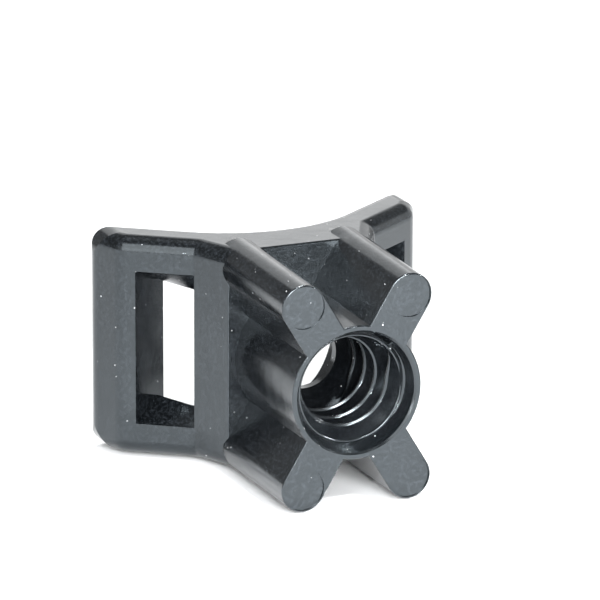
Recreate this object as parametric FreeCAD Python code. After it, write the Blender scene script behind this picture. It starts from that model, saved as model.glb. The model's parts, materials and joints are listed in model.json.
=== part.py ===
"""Cable tie mount: one moulded piece, a saddle on a threaded tube with four diagonal ribs.

All lengths are in millimetres. The screw axis runs along Y through the origin. The foot plane, which
goes against the wall, is Y = 0, and the saddle that cradles the bundle opens towards +Y. X runs along
the saddle from wing to wing, and Z runs across it, along the bundle.
"""
import FreeCAD, Part
import math
import os

Vector = FreeCAD.Vector

# Saddle
cradle_radius = 8.8
cradle_height = 13.3
wing_angle = 36.0
wing_thickness = 3.2
wing_reach = 11.15
wing_end_slant = 24.0
wing_end_radius = 1.2
wing_brow_radius = 1.5
saddle_width = 14.55
saddle_corner_radius = 1.5
saddle_edge_radius = 1.0

# Middle block, which carries the tube and the ribs
block_height = 9.15
block_top_length = 10.0
block_foot_length = 12.5
block_foot_radius = 0.3
block_front_radius = 0.12

# Tie slots, measured along the wing from the foot of the block
slot_mouth_length = 3.87
slot_mouth_width = 10.2
slot_back_length = 2.04
slot_back_width = 9.2
slot_waist_width = 7.8
slot_waist_inner_depth = 0.9
slot_waist_outer_depth = 2.6
slot_lean = 1.22
slot_overrun = 0.3

# Tube
tube_radius = 4.38
tube_draft = 0.8
mouth_radius = 3.95
mouth_depth = 1.15
mouth_lip_radius = 0.12
thread_radius = 3.5
thread_core_radius = 2.7
thread_depth = 6.4
throat_radius = 2.2
throat_length = 0.6
head_radius = 4.5
head_seat_angle = 45.0

# Ribs
rib_thickness = 2.95
rib_height = 10.9
rib_end_height = 13.1
rib_end_drop = 0.65
rib_draft = 0.7
rib_spacing_x = 7.2
rib_spacing_z = 11.86
foot_edge_radius = 0.1

# Ejector marks on the feet
mark_radius = 1.38
mark_depth = 0.1

NODE = "tie_mount_body"


def along(start, angle, length):
    """Gives the point at a length from another, at an angle from X towards Y, in degrees."""
    turn = math.radians(angle)
    return Vector(start.x + length * math.cos(turn), start.y + length * math.sin(turn), 0)


def rounded_outline(corners):
    """Closes an outline in the XY plane, with each corner's own radius as an arc that meets its sides."""
    edges = []
    ends = []
    count = len(corners)
    for index in range(count):
        corner, radius = corners[index]
        before = corners[index - 1][0] - corner
        after = corners[(index + 1) % count][0] - corner
        if radius <= 0:
            ends.append((corner, corner))
            continue
        half = before.getAngle(after) / 2
        run = radius / math.tan(half)
        before.normalize()
        after.normalize()
        first = corner + before * run
        last = corner + after * run
        bisector = before + after
        bisector.normalize()
        middle = corner + bisector * (radius / math.sin(half) - radius)
        edges.append(Part.Arc(first, middle, last).toShape())
        ends.append((first, last))
    for index in range(count):
        start = ends[index][1]
        stop = ends[(index + 1) % count][0]
        if start.distanceToPoint(stop) > 1e-6:
            edges.append(Part.LineSegment(start, stop).toShape())
    return Part.Wire(Part.__sortEdges__(edges))


def under_cradle_outline(right):
    """Closes the right side's corners with their mirror images and the cradle's round bottom."""
    left = [(Vector(-point.x, point.y, 0), radius) for point, radius in reversed(right)]
    return rounded_outline(right + [(back_point(0), cradle_radius)] + left)


def prism(wire, width):
    """Extrudes an outline in the XY plane to both sides of Z = 0."""
    solid = Part.Face(wire).extrude(Vector(0, 0, width))
    solid.translate(Vector(0, 0, -width / 2))
    return solid


def back_point(x):
    """Gives the point at a given X on the straight back face of the right wing."""
    tangent = math.radians(wing_angle)
    tangent_x = cradle_radius * math.sin(tangent)
    tangent_y = cradle_height + cradle_radius * (1 - math.cos(tangent))
    return Vector(x, tangent_y + (x - tangent_x) * math.tan(tangent), 0)


def front_point(x):
    """Gives the point at a given X on the front face of the right wing."""
    drop = wing_thickness / math.cos(math.radians(wing_angle))
    return back_point(x) - Vector(0, drop, 0)


def wing_end():
    """Finds the corners where the slanted end face of the right wing meets its front and back faces."""
    centre_x = wing_reach - wing_end_radius
    centre = back_point(centre_x) - Vector(0, wing_end_radius / math.cos(math.radians(wing_angle)), 0)
    slant = 90 - wing_end_slant
    touch = along(centre, slant - 90, wing_end_radius)
    run = along(Vector(0, 0, 0), slant, 1)
    face = along(Vector(0, 0, 0), wing_angle, 1)
    corners = []
    for start in (front_point(0), back_point(0)):
        gap = touch - start
        share = (gap.x * run.y - gap.y * run.x) / (face.x * run.y - face.y * run.x)
        corners.append(start + face * share)
    return corners


def saddle():
    """Makes the block and both wings from one outline, with soft long edges and round plan corners."""
    brow, tip = wing_end()
    corners = [(Vector(block_top_length / 2, block_height, 0), 0)]
    corners += [(front_point(block_foot_length / 2), block_foot_radius)]
    corners += [(brow, wing_brow_radius), (tip, wing_end_radius)]
    body = prism(under_cradle_outline(corners), saddle_width)
    ends = [face for face in body.Faces if abs(face.normalAt(0, 0).z) > 0.99]
    rims = [edge for face in ends for edge in face.Edges]
    soft = [edge for edge in rims if edge.CenterOfMass.y > block_height + 1e-3]
    body = body.makeFillet(saddle_edge_radius, soft).common(plan_outline())
    front = [edge for edge in body.Edges if abs(edge.BoundBox.YMax - block_height) < 1e-6]
    return body.makeFillet(block_front_radius, front)


def plan_outline():
    """Makes the upright prism whose rounded corners trim the wing ends, as the mould halves do."""
    depth = 4 * cradle_height
    slab = Part.makeBox(2 * wing_reach, depth, saddle_width)
    slab.translate(Vector(-wing_reach, -depth / 4, -saddle_width / 2))
    corners = [edge for edge in slab.Edges if abs(edge.tangentAt(edge.FirstParameter).y) > 0.99]
    return slab.makeFillet(saddle_corner_radius, corners)


def rib_outline(reach, thickness, height):
    """Draws a rib's section at one height, along +X from the screw axis to its round end."""
    half = thickness / 2
    corners = [Vector(0, height, -half), Vector(reach, height, -half)]
    corners += [Vector(reach, height, half), Vector(0, height, half)]
    nose = Part.Arc(corners[1], Vector(reach + half, height, 0), corners[2]).toShape()
    sides = [Part.LineSegment(corners[0], corners[1]).toShape(), nose]
    sides += [Part.LineSegment(corners[2], corners[3]).toShape()]
    sides += [Part.LineSegment(corners[3], corners[0]).toShape()]
    return Part.Wire(sides)


def rib(side_x, side_z):
    """Makes one diagonal rib, which thickens from its foot and sinks into the saddle at its other end."""
    end = Vector(side_x * rib_spacing_x / 2, 0, side_z * rib_spacing_z / 2)
    root_thickness = rib_thickness + 2 * rib_height * math.tan(math.radians(rib_draft))
    sections = [rib_outline(end.Length, rib_thickness, 0)]
    sections += [rib_outline(end.Length, root_thickness, rib_height)]
    sections += [rib_outline(end.Length - rib_end_drop, root_thickness, rib_end_height)]
    solid = Part.makeLoft(sections, True, True)
    solid.rotate(Vector(0, 0, 0), Vector(0, 1, 0), -math.degrees(math.atan2(end.z, end.x)))
    return solid


def bore():
    """Revolves the hole: mouth, threaded length, throat, and the screw head's seat in the cradle."""
    seat_turn = math.tan(math.radians(head_seat_angle))
    thread_end = mouth_depth + thread_depth
    throat_start = block_height - throat_length
    throat_end = throat_start + throat_length
    seat_end = throat_end + (head_radius - throat_radius) / seat_turn
    top = cradle_height + cradle_radius
    lip = mouth_lip_radius
    points = [(0, -1), (mouth_radius + lip, -1), (mouth_radius + lip, 0), (mouth_radius, lip)]
    points += [(thread_radius, mouth_depth), (thread_radius, thread_end), (thread_core_radius, thread_end)]
    points += [(throat_radius, throat_start), (throat_radius, throat_end), (head_radius, seat_end)]
    points += [(head_radius, top), (0, top), (0, -1)]
    wire = Part.makePolygon([Vector(x, y, 0) for x, y in points])
    return Part.Face(wire).revolve(Vector(0, 0, 0), Vector(0, 1, 0), 360)


def slot(side):
    """Makes the cutter of one tie slot, wide at both faces, with a slanting waist between them."""
    foot = block_foot_length / 2
    inner_front = front_point(foot)
    outer_front = along(inner_front, wing_angle, slot_mouth_length)
    inner_way = back_point(foot - slot_lean) - inner_front
    outer_way = along(inner_front + inner_way, wing_angle, slot_back_length) - outer_front
    inner_waist = slot_waist_inner_depth / wing_thickness
    outer_waist = slot_waist_outer_depth / wing_thickness
    before = -slot_overrun
    after = 1 + slot_overrun
    steps = [(before, before, slot_mouth_width), (0, 0, slot_mouth_width)]
    steps += [(inner_waist, outer_waist, slot_waist_width)]
    steps += [(1, 1, slot_back_width), (after, after, slot_back_width)]
    sections = []
    for inner_share, outer_share, width in steps:
        inner = inner_front + inner_way * inner_share
        outer = outer_front + outer_way * outer_share
        ring = [Vector(side * inner.x, inner.y, -width / 2), Vector(side * outer.x, outer.y, -width / 2)]
        ring += [Vector(side * outer.x, outer.y, width / 2), Vector(side * inner.x, inner.y, width / 2)]
        sections.append(Part.makePolygon(ring + [ring[0]]))
    return Part.makeLoft(sections, True, True)


def foot_edges(body):
    """Picks the outer edges of the feet and of the tube's rim in the foot plane."""
    feet = [face for face in body.Faces if abs(face.CenterOfMass.y) < 1e-6]
    outer = [wire for face in feet for wire in face.Wires if wire.isSame(face.OuterWire)]
    return [edge for wire in outer for edge in wire.Edges]


def mount():
    """Joins the saddle, tube and ribs, then cuts the slots, the bore and the ejector marks."""
    spread = math.tan(math.radians(tube_draft)) * block_height
    tube = Part.makeCone(tube_radius, tube_radius + spread, block_height, Vector(0, 0, 0), Vector(0, 1, 0))
    sides = [(-1, -1), (-1, 1), (1, -1), (1, 1)]
    legs = [rib(side_x, side_z) for side_x, side_z in sides]
    body = saddle().multiFuse([tube] + legs).removeSplitter()
    body = body.makeFillet(foot_edge_radius, foot_edges(body))
    body = body.cut(slot(-1)).cut(slot(1)).cut(bore())
    for side_x, side_z in sides:
        centre = Vector(side_x * rib_spacing_x / 2, 0, side_z * rib_spacing_z / 2)
        body = body.cut(Part.makeCylinder(mark_radius, mark_depth, centre, Vector(0, 1, 0)))
    return body


os.makedirs("parts", exist_ok=True)
body = mount()
solid = body.Solids[0] if len(body.Solids) == 1 else body
print(NODE, "solids", len(body.Solids), "valid", body.isValid(), "volume", round(body.Volume, 1))
box = body.optimalBoundingBox(False)
print("box", [round(value, 2) for value in (box.XMin, box.YMin, box.ZMin, box.XMax, box.YMax, box.ZMax)])
solid.exportStep("parts/" + NODE + ".step")
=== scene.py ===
"""Looks of the cable tie mount: moulded black polyamide, its coarse inner thread, and a pale studio.

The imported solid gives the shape. This file dresses it, adds the thread's turns and a fine ring in its tube,
and sets the floor, the light and the camera. Lengths are in metres unless a description says otherwise.
"""
import json
import math

import bpy
import numpy as np
from mathutils import Matrix, Vector


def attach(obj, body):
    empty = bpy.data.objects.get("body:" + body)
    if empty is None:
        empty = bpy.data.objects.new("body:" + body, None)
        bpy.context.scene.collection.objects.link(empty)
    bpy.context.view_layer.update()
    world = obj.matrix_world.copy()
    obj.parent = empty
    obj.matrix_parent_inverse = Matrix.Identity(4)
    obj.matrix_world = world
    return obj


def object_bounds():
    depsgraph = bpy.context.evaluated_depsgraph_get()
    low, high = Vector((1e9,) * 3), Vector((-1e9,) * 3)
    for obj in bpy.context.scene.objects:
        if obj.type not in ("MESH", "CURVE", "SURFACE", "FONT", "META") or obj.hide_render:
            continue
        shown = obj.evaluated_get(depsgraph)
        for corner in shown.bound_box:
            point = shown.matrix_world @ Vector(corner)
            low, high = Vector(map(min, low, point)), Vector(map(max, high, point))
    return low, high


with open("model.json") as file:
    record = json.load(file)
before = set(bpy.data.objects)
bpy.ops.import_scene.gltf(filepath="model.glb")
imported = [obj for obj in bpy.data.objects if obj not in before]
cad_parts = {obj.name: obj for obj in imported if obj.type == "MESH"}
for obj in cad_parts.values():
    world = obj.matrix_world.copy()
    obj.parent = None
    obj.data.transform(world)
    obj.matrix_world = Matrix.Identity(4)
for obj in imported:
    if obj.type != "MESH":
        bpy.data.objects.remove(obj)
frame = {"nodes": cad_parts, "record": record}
cad_low, cad_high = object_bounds()

bl_info = {
    "name": "Cable tie mount",
    "version": (1, 0, 0),
    "blender": (4, 5, 0),
    "location": "View3D > Sidebar > Tie mount",
    "description": "Dresses a moulded cable tie mount, adds its thread and builds a studio round it",
    "category": "Object",
}

BODY_NODE = "tie_mount_body"
TUBE_MOUTH = (0, 0, 0)
PHOTO_WIDTH = 600
MM = 0.001


# Soft lights: the setting that holds the power, the side length and the place
SOFT_LIGHTS = {
    "key_light": ("key", 0.45, (-0.26, -0.3, 0.21)),
    "back_light": ("back", 0.3, (0.1, 0.5, 0.2)),
    "lens_light": ("lens_light", 0.17, (-0.06, -0.4, 0.15)),
    "top_light": ("top", 0.08, (0.05, 0.1, 0.55)),
}
# Spots: the setting that holds the power, the cone in degrees, the radius, the place and the target
SPOTS = {
    "front_light": ("front", 32, 0.02, (0.02, -0.2, 0.25), (0.015, -0.07, cad_low.z)),
    "right_spot": ("bore_spots", 2.6, 0.01, (0.3, -0.16, 0.2), TUBE_MOUTH),
    "left_spot": ("bore_spots", 2.2, 0.01, (-0.3, -0.25, 0.06), (0.001, 0, 0)),
}


def mount_named(name):
    """Finds one of the part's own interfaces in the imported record."""
    return next(mount for mount in frame["record"]["mounts"] if mount["name"] == name)


STUD_RADIUS = mount_named("stud_thread")["dims"]["r_mm"] * MM


class MountSizes(bpy.types.PropertyGroup):
    """Sizes of the thread's turns, which start at the foot side of the tube, and of the mouth's ring."""

    thread_pitch: bpy.props.FloatProperty(
        name="Thread pitch", description="Travel of the thread along the tube in one turn",
        default=0.00168, unit="LENGTH", precision=5)
    crest_radius: bpy.props.FloatProperty(
        name="Crest radius", description="Distance from the screw axis to the top of the turns",
        default=0.00272, unit="LENGTH", precision=5)
    lead_length: bpy.props.FloatProperty(
        name="Lead flank", description="Length along the tube of the long flank that faces the mouth",
        default=0.00092, unit="LENGTH", precision=5)
    lip_height: bpy.props.FloatProperty(
        name="Lip height", description="Height of the steep lip between the long flank and the crest",
        default=0.00013, unit="LENGTH", precision=5)
    crest_width: bpy.props.FloatProperty(
        name="Crest width", description="Width of the turns at their top",
        default=0.00014, unit="LENGTH", precision=5)
    back_length: bpy.props.FloatProperty(
        name="Back flank", description="Length along the tube of the short flank that faces inwards",
        default=0.00045, unit="LENGTH", precision=5)
    thread_start: bpy.props.FloatProperty(
        name="Thread start", description="Distance of the first crest from the foot plane",
        default=0.00162, unit="LENGTH", precision=5)
    thread_end: bpy.props.FloatProperty(
        name="Thread end", description="Distance of the last crest from the foot plane",
        default=0.0072, unit="LENGTH", precision=5)
    start_turn: bpy.props.FloatProperty(
        name="Start angle", description="Where the thread starts, from +X towards +Z",
        default=math.radians(47), subtype="ANGLE")
    run_in: bpy.props.FloatProperty(
        name="Run-in", description="Turn over which the thread rises to its full height at either end",
        default=math.radians(50), subtype="ANGLE")
    ring_place: bpy.props.FloatProperty(
        name="Mouth ring", description="Distance of the fine ring in the mouth from the foot plane",
        default=0.00115, unit="LENGTH", precision=5)
    ring_height: bpy.props.FloatProperty(
        name="Ring height", description="Height of the fine ring over the wall of the tube",
        default=0.00013, unit="LENGTH", precision=5)


class MountFinish(bpy.types.PropertyGroup):
    """Colours and texture of the moulded polyamide."""

    colour: bpy.props.FloatVectorProperty(
        name="Polyamide", description="Colour of the plastic", subtype="COLOR", size=3,
        default=(0.0022, 0.0027, 0.0033), min=0, max=1)
    pale_colour: bpy.props.FloatVectorProperty(
        name="Polyamide, pale clouds", description="Colour of the plastic where the mould left it paler",
        subtype="COLOR", size=3, default=(0.004, 0.0047, 0.0055), min=0, max=1)
    mottle_colour: bpy.props.FloatVectorProperty(
        name="Polyamide, mottle", description="Colour of the fine pale mottle of the moulded faces",
        subtype="COLOR", size=3, default=(0.024, 0.028, 0.033), min=0, max=1)
    dust_colour: bpy.props.FloatVectorProperty(
        name="Dust", description="Colour of the small specks on the plastic", subtype="COLOR", size=3,
        default=(0.7, 0.72, 0.74), min=0, max=1)
    roughness: bpy.props.FloatProperty(
        name="Roughness", description="Roughness of the moulded faces", default=0.17, min=0, max=1,
        subtype="FACTOR")
    sheen: bpy.props.FloatVectorProperty(
        name="Sheen", description="Tint of the reflections on the plastic", subtype="COLOR", size=3,
        default=(0.84, 0.94, 1.0), min=0, max=1)
    # Painted shade of the bore: within this radius of the screw axis the pale mottle is kept faint, so the
    # tube's inside is darker.
    bore_shade_radius: bpy.props.FloatProperty(
        name="Bore shade radius", description="Distance from the screw axis within which the mottle is faint",
        default=0.00412, unit="LENGTH", precision=5)
    dust_share: bpy.props.FloatProperty(
        name="Dust share", description="Share of the surface's cells that hold a speck", default=0.34,
        min=0, max=1, subtype="FACTOR")


class MountStudio(bpy.types.PropertyGroup):
    """The camera's place, the floor and the light."""

    azimuth: bpy.props.FloatProperty(
        name="Camera azimuth", description="Turn of the camera to the left of the screw axis",
        default=math.radians(22.8), subtype="ANGLE")
    elevation: bpy.props.FloatProperty(
        name="Camera elevation", description="Height of the camera over the screw axis",
        default=math.radians(16.78), subtype="ANGLE")
    roll: bpy.props.FloatProperty(
        name="Camera roll", description="Turn of the camera about its own line of sight",
        default=math.radians(0.19), subtype="ANGLE")
    distance: bpy.props.FloatProperty(
        name="Camera distance", description="Distance of the camera from the foot plane's centre",
        default=0.3743, unit="LENGTH")
    aim_right: bpy.props.FloatProperty(
        name="Aim, right", description="How far right of the foot plane's centre the camera aims",
        default=-0.00357, unit="LENGTH", precision=5)
    aim_up: bpy.props.FloatProperty(
        name="Aim, up", description="How far above the foot plane's centre the camera aims",
        default=0.00581, unit="LENGTH", precision=5)
    scale: bpy.props.FloatProperty(
        name="Picture scale", description="Pixels of the picture for one metre at the foot plane's centre",
        default=16000.0)
    floor_colour: bpy.props.FloatVectorProperty(
        name="Floor", description="Colour of the floor", subtype="COLOR", size=3,
        default=(0.9, 0.91, 0.92), min=0, max=1)
    sky: bpy.props.FloatProperty(
        name="Room light", description="Strength of the light from the room's pale walls",
        default=1.3, min=0)
    ceiling: bpy.props.FloatProperty(
        name="Ceiling", description="Strength of the light from the room's ceiling and dark sides",
        default=0.26, min=0)
    top: bpy.props.FloatProperty(
        name="Top light", description="Power of the small light above, in watts", default=2.6, min=0)
    key: bpy.props.FloatProperty(
        name="Key light", description="Power of the wide soft light at the left, in watts",
        default=1.9, min=0)
    back: bpy.props.FloatProperty(
        name="Back light", description="Power of the wide light behind the part, in watts",
        default=0.25, min=0)
    bore_spots: bpy.props.FloatProperty(
        name="Bore spots", description="Power of each narrow spot on the tube, in watts",
        default=16.0, min=0)
    lens_light: bpy.props.FloatProperty(
        name="Light by the lens", description="Power of the soft light behind the camera, in watts",
        default=3.6, min=0)
    front: bpy.props.FloatProperty(
        name="Front light", description="Power of the soft spot on the floor in front, in watts",
        default=6.0, min=0)


class Link:
    """One output socket of a shader node, with sums and products that add Math nodes."""

    def __init__(self, tree, socket):
        self.tree = tree
        self.socket = socket

    def worked(self, operation, *values):
        """Adds one Math node over these values, in their order."""
        return self.tree.node("ShaderNodeMath", {"operation": operation}, list(values))

    def __add__(self, other):
        return self.worked("ADD", self, other)

    def __radd__(self, other):
        return self.worked("ADD", other, self)

    def __sub__(self, other):
        return self.worked("SUBTRACT", self, other)

    def __rsub__(self, other):
        return self.worked("SUBTRACT", other, self)

    def __mul__(self, other):
        return self.worked("MULTIPLY", self, other)

    def __rmul__(self, other):
        return self.worked("MULTIPLY", other, self)

    def __gt__(self, other):
        return self.worked("GREATER_THAN", self, other)

    def __lt__(self, other):
        return self.worked("LESS_THAN", self, other)


class Shader:
    """The node tree of one new material, or of another owner such as a world."""

    def __init__(self, name, owners=None):
        self.owner = (bpy.data.materials if owners is None else owners).new(name)
        self.owner.use_nodes = True
        self.nodes = self.owner.node_tree.nodes
        self.links = self.owner.node_tree.links
        self.nodes.clear()

    def node(self, kind, settings=None, inputs=None, output=0):
        """Adds a node: its settings first, then its sockets, as a list in order or by name."""
        made = self.nodes.new(kind)
        for name, value in (settings or {}).items():
            if name == "stops":
                self.set_stops(made.color_ramp, value)
            else:
                setattr(made, name, value)
        named = inputs.items() if isinstance(inputs, dict) else enumerate(inputs or [])
        for place, value in named:
            if isinstance(value, Link):
                self.links.new(value.socket, made.inputs[place])
            else:
                made.inputs[place].default_value = value
        return Link(self, made.outputs[output]) if len(made.outputs) else made

    def set_stops(self, ramp, stops):
        """Gives a colour ramp its stops, as pairs of a place and a grey."""
        while len(ramp.elements) < len(stops):
            ramp.elements.new(0.5)
        for element, (place, grey) in zip(ramp.elements, stops):
            element.position = place
            element.color = (grey, grey, grey, 1)

    def mix(self, share, first, second):
        """Blends two colours by a share from 0 to 1."""
        return self.node("ShaderNodeMix", {"data_type": "RGBA"}, {0: share, 6: first, 7: second}, output=2)

    def finish(self, surface, output="ShaderNodeOutputMaterial"):
        """Ends the tree in its output."""
        self.node(output, inputs=[surface])
        return self.owner


def with_alpha(colour):
    """Adds the fourth number that a colour socket needs."""
    return (*colour, 1.0)


def polyamide():
    """Moulded black polyamide: cloudy tone, fine mould texture, faint flow waves and a little pale dust, with
    the pale mottle kept faint in the tube as painted shade of the bore.
    """
    finish = bpy.context.scene.mount_finish
    shader = Shader("moulded_polyamide")
    place = shader.node("ShaderNodeTexCoord", output=3)
    spot = shader.node("ShaderNodeVectorMath", {"operation": "SCALE"}, {0: place, "Scale": 1 / MM})
    clouds, grain, waves, mottle = (
        shader.node("ShaderNodeTexNoise", inputs={"Vector": spot, "Scale": scale, "Detail": detail})
        for scale, detail in ((0.45, 4.0), (11.0, 3.0), (1.1, 1.0), (5.0, 4.0)))
    distance, lot = (
        shader.node("ShaderNodeTexVoronoi", inputs={"Vector": spot, "Scale": 1.9}, output=output)
        for output in (0, 1))
    draw, breadth = (
        shader.node("ShaderNodeSeparateColor", inputs=[lot], output=output) for output in (0, 1))
    reach = 0.075 + breadth * 0.055
    speck = (distance + grain * 0.08 < reach) * (draw < finish.dust_share)
    tone = shader.node("ShaderNodeValToRGB", {"stops": [(0.35, 0.0), (0.7, 1.0)]}, [clouds])
    plastic = shader.mix(tone, with_alpha(finish.colour), with_alpha(finish.pale_colour))
    mottle = shader.node("ShaderNodeValToRGB", {"stops": [(0.46, 0.0), (0.7, 1.0)]}, [mottle])
    east, height = (shader.node("ShaderNodeSeparateXYZ", inputs=[spot], output=axis) for axis in (0, 2))
    # Painted shade in the bore: within the radius round the screw axis (bore wall, thread turns, mouth ring)
    # the pale mottle is faint, which darkens the tube's inside.
    outside_bore_shade = east * east + height * height > (finish.bore_shade_radius / MM) ** 2
    plastic = shader.mix(mottle * (0.15 + outside_bore_shade * 0.4), plastic, with_alpha(finish.mottle_colour))
    colour = shader.mix(speck * 0.8, plastic, with_alpha(finish.dust_colour))
    roughness = finish.roughness + (clouds - 0.5) * 0.22 + (grain - 0.5) * 0.12 + speck * 0.3
    relief = grain * 0.35 + waves * 0.65
    bump = shader.node("ShaderNodeBump", inputs={"Strength": 0.35, "Distance": 0.00003, "Height": relief})
    surface = shader.node("ShaderNodeBsdfPrincipled", inputs={
        "Base Color": colour, "Roughness": roughness, "Normal": bump, "IOR": 1.62,
        "Specular Tint": with_alpha(finish.sheen)})
    return shader.finish(surface)


def pale_floor():
    """The studio's plain matte floor."""
    shader = Shader("pale_floor")
    colour = with_alpha(bpy.context.scene.mount_studio.floor_colour)
    surface = shader.node("ShaderNodeBsdfPrincipled", inputs={"Base Color": colour, "Roughness": 0.9})
    return shader.finish(surface)


def soft_room():
    """The room round the studio: pale walls to 20 degrees up, dark above and at the back left.

    In front it is darker too, behind the camera. East, north and height are the direction's parts.
    """
    studio = bpy.context.scene.mount_studio
    shader = Shader("soft_room", bpy.data.worlds)
    direction = shader.node("ShaderNodeTexCoord")
    east, north, height = (
        shader.node("ShaderNodeSeparateXYZ", inputs=[direction], output=axis) for axis in range(3))
    above = shader.node("ShaderNodeValToRGB", {"stops": [(0.31, 0.0), (0.43, 1.0)]}, [height])
    front = shader.node("ShaderNodeValToRGB", {"stops": [(0.3, 0.0), (0.8, 1.0)]}, [0 - north])
    turned = (north - east) * 0.7
    back_left = shader.node("ShaderNodeValToRGB", {"stops": [(0.55, 0.0), (0.85, 1.0)]}, [turned])
    dark = above + front * 0.7 + back_left * 0.9
    walls = shader.node("ShaderNodeBackground", inputs={"Strength": studio.sky})
    ceiling = shader.node("ShaderNodeBackground", inputs={"Strength": studio.ceiling})
    room = shader.node("ShaderNodeMixShader", inputs=[dark, walls, ceiling])
    return shader.finish(room, "ShaderNodeOutputWorld")


def mesh_piece(name, points, faces, material):
    """Makes a smooth object at the origin from rows of points and of face corners."""
    mesh = bpy.data.meshes.new(name)
    mesh.from_pydata(points.tolist(), [], [face.tolist() for face in faces])
    mesh.polygons.foreach_set("use_smooth", np.ones(len(mesh.polygons), bool))
    mesh.materials.append(material)
    mesh.update()
    piece = bpy.data.objects.new(name, mesh)
    bpy.context.scene.collection.objects.link(piece)
    return piece


class TIEMOUNT_OT_finish_body(bpy.types.Operator):
    """Gives the moulded body its polyamide"""

    bl_idname = "tiemount.finish_body"
    bl_label = "Finish body"

    def execute(self, context):
        body = frame["nodes"][BODY_NODE]
        material = polyamide()
        body.data.materials.clear()
        body.data.materials.append(material)
        return {"FINISHED"}


class TIEMOUNT_OT_add_thread(bpy.types.Operator):
    """Winds the coarse thread along the wall of the tube"""

    bl_idname = "tiemount.add_thread"
    bl_label = "Add thread"

    steps_round = 144
    buried = 0.00014
    lip_slant = 0.35

    def profile(self, sizes):
        """Cross-section of a turn: radius and offset along the axis, from the mouth side inwards.

        A long straight flank climbs from the wall to a short steep lip, which ends in the crest, and the
        back flank falls to the wall again. Both flanks run on into the wall at their own slopes. Points
        close to the lip's ends, on it and on the flank, keep their faces flat under smooth shading.
        """
        crest = sizes.crest_radius
        shoulder = crest + sizes.lip_height
        lead = sizes.lead_length
        lip = sizes.lip_height * self.lip_slant
        back = sizes.back_length
        lead_slope = lead / (STUD_RADIUS - shoulder)
        back_slope = back / (STUD_RADIUS - crest)
        inner = lip + sizes.crest_width
        corners = np.array([
            [STUD_RADIUS + self.buried, -lead - lead_slope * self.buried],
            [STUD_RADIUS, -lead],
            [shoulder, 0],
            [crest, lip],
            [crest, inner],
            [STUD_RADIUS, inner + back],
            [STUD_RADIUS + self.buried, inner + back + back_slope * self.buried]])
        legs = np.array([0, 1, 1.94, 2, 2.12, 2.88, 3, 4, 4.1, 5, 6])
        places = np.arange(len(corners))
        return np.interp(legs, places, corners[:, 0]), np.interp(legs, places, corners[:, 1])

    def add_turns(self, sizes):
        """Carries the section along a right-hand helix.

        At a turn t past the start, the section stands at start + pitch * t / (2 pi) along the axis and at
        the angle start turn - t, and its height over the wall grows from 0 to 1 over the run-in.
        """
        length = sizes.thread_end - sizes.thread_start
        whole = 2 * math.pi * length / sizes.thread_pitch
        turn = np.linspace(0, whole, int(self.steps_round * whole / (2 * math.pi)))
        rise = np.clip(np.minimum(turn, whole - turn) / sizes.run_in, 0, 1)
        rise = (np.sin((rise - 0.5) * math.pi) + 1) / 2
        radii, offsets = self.profile(sizes)
        wall = STUD_RADIUS + self.buried
        radius = wall + (radii[None, :] - wall) * (0.05 + 0.95 * rise[:, None])
        along = (sizes.thread_start + sizes.thread_pitch * turn / (2 * math.pi))[:, None] + offsets[None, :]
        angle = (sizes.start_turn - turn)[:, None]
        ends = [np.arange(radius.shape[1])[::-1], np.arange(radius.size - radius.shape[1], radius.size)]
        self.add_piece("stud_thread_turns", radius, along, angle, ends)

    def add_mouth_ring(self, sizes):
        """Carries a small half-round bead once round the end of the mouth's cone."""
        turn = np.linspace(0, 2 * math.pi, self.steps_round, endpoint=False)[:, None]
        bend = np.linspace(-math.pi / 2, math.pi / 2, 7)
        radius = np.append(STUD_RADIUS - sizes.ring_height * np.cos(bend), STUD_RADIUS + self.buried)
        along = np.append(sizes.ring_place + sizes.ring_height * np.sin(bend), sizes.ring_place)
        self.add_piece("mouth_ring", radius + 0 * turn, along + 0 * turn, -turn, [])

    def add_piece(self, name, radius, along, angle, ends):
        """Closes a swept section, given as a row of radii and offsets for each angle, into one piece.

        It is closed by its end faces or, where it has none, by joining its last row to its first.
        """
        points = np.stack([radius * np.cos(angle), along, radius * np.sin(angle)], -1).reshape(-1, 3)
        rows, columns = radius.shape
        steps = np.arange(rows - 1 if ends else rows)
        row, column = np.meshgrid(steps, np.arange(columns), indexing="ij")
        next_row = (row + 1) % rows
        next_column = (column + 1) % columns
        corners = [row * columns + column, row * columns + next_column,
                   next_row * columns + next_column, next_row * columns + column]
        sides = np.stack(corners, -1).reshape(-1, 4)
        piece = mesh_piece(name, points, list(sides) + ends, bpy.data.materials["moulded_polyamide"])
        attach(piece, "root")

    def execute(self, context):
        self.add_turns(context.scene.mount_sizes)
        self.add_mouth_ring(context.scene.mount_sizes)
        return {"FINISHED"}


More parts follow.
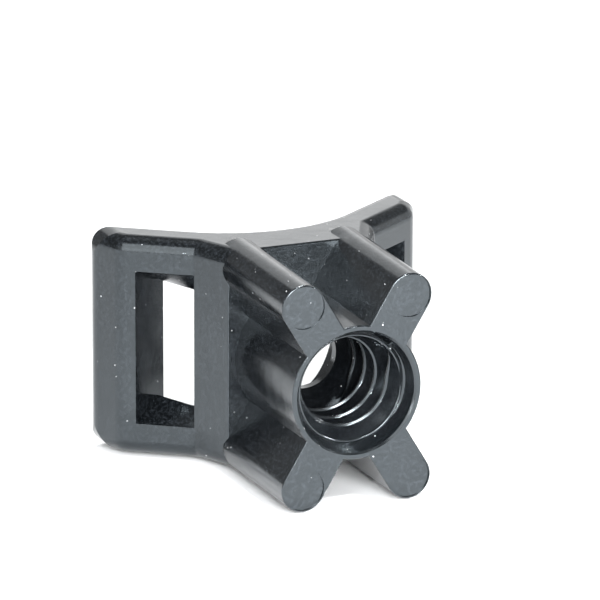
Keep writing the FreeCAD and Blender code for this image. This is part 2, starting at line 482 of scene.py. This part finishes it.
class TIEMOUNT_OT_add_studio(bpy.types.Operator):
    """Builds the pale floor, the soft light and the camera"""

    bl_idname = "tiemount.add_studio"
    bl_label = "Add studio"

    floor_half = 3.0
    spot_blend = 0.8

    def add_floor(self):
        """One flat square sheet at the part's lowest point."""
        side = np.array([-1, 1, 1, -1]) * self.floor_half
        points = np.stack([side, np.roll(side, 1), np.full(4, cad_low.z)], -1)
        floor = mesh_piece("studio_floor", points, [np.arange(4)], pale_floor())

    def hang(self, light, power, place, target):
        """Hangs a light at a place, turned to a target."""
        light.energy = power
        lamp = bpy.data.objects.new(light.name, light)
        lamp.location = place
        lamp.rotation_mode = "QUATERNION"
        lamp.rotation_quaternion = (Vector(target) - Vector(place)).to_track_quat("-Z", "Y")
        bpy.context.scene.collection.objects.link(lamp)

    def add_soft_light(self, name, power, size, place):
        """Hangs one square soft light at a place, turned to the part."""
        light = bpy.data.lights.new(name, "AREA")
        light.shape = "SQUARE"
        light.size = size
        self.hang(light, power, place, TUBE_MOUTH)

    def add_spot(self, name, power, cone, size, place, target):
        """Hangs one spot with a soft edge at a place, turned to a target, its cone given in degrees."""
        light = bpy.data.lights.new(name, "SPOT")
        light.spot_size = math.radians(cone)
        light.spot_blend = self.spot_blend
        light.shadow_soft_size = size
        self.hang(light, power, place, target)

    def add_camera(self, studio):
        """Stands the camera where the picture was taken from.

        Its line of sight is set by the azimuth and elevation, and its lens by the picture's scale at the
        foot plane's centre.
        """
        turn, tilt = studio.azimuth, studio.elevation
        back = Vector((-math.sin(turn) * math.cos(tilt), -math.cos(turn) * math.cos(tilt), math.sin(tilt)))
        level = Vector((math.cos(turn), -math.sin(turn), 0))
        upright = back.cross(level)
        right = level * math.cos(studio.roll) + upright * math.sin(studio.roll)
        up = upright * math.cos(studio.roll) - level * math.sin(studio.roll)
        data = bpy.data.cameras.new("photo_camera")
        data.lens = data.sensor_width * studio.scale * studio.distance / PHOTO_WIDTH
        data.clip_start = studio.distance / 100
        data.clip_end = studio.distance * 100
        camera = bpy.data.objects.new("photo_camera", data)
        place = back * studio.distance + right * studio.aim_right + up * studio.aim_up
        camera.matrix_world = Matrix.Translation(place) @ Matrix((right, up, back)).transposed().to_4x4()
        bpy.context.scene.collection.objects.link(camera)
        bpy.context.scene.camera = camera

    def execute(self, context):
        studio = context.scene.mount_studio
        self.add_floor()
        for name, (setting, size, place) in SOFT_LIGHTS.items():
            self.add_soft_light(name, getattr(studio, setting), size, place)
        for name, (setting, cone, size, place, target) in SPOTS.items():
            self.add_spot(name, getattr(studio, setting), cone, size, place, target)
        context.scene.world = soft_room()
        context.scene.view_settings.view_transform = "Standard"
        self.add_camera(studio)
        return {"FINISHED"}


class TIEMOUNT_PT_panel(bpy.types.Panel):
    """Lists the mount's sizes, finish, studio and operators"""

    bl_idname = "TIEMOUNT_PT_panel"
    bl_label = "Cable tie mount"
    bl_space_type = "VIEW_3D"
    bl_region_type = "UI"
    bl_category = "Tie mount"

    def draw(self, context):
        for group, title in GROUPS.items():
            box = self.layout.box()
            box.label(text=title)
            settings = getattr(context.scene, group)
            for name in settings.bl_rna.properties.keys():
                if name not in ("rna_type", "name"):
                    box.prop(settings, name)
        for operator in OPERATORS:
            self.layout.operator(operator.bl_idname)


GROUPS = {"mount_sizes": "Thread", "mount_finish": "Finish", "mount_studio": "Studio"}
GROUP_TYPES = {"mount_sizes": MountSizes, "mount_finish": MountFinish, "mount_studio": MountStudio}
OPERATORS = (TIEMOUNT_OT_finish_body, TIEMOUNT_OT_add_thread, TIEMOUNT_OT_add_studio)
CLASSES = (*GROUP_TYPES.values(), *OPERATORS, TIEMOUNT_PT_panel)


def register():
    """Registers the classes and hangs the settings on the scene."""
    for kind in CLASSES:
        bpy.utils.register_class(kind)
    for name, kind in GROUP_TYPES.items():
        setattr(bpy.types.Scene, name, bpy.props.PointerProperty(type=kind))


def unregister():
    """Takes the settings and the classes away again."""
    for name in GROUP_TYPES:
        delattr(bpy.types.Scene, name)
    for kind in reversed(CLASSES):
        bpy.utils.unregister_class(kind)


def main():
    register()
    bpy.ops.tiemount.finish_body()
    bpy.ops.tiemount.add_thread()
    bpy.ops.tiemount.add_studio()


if __name__ == "__main__":
    main()
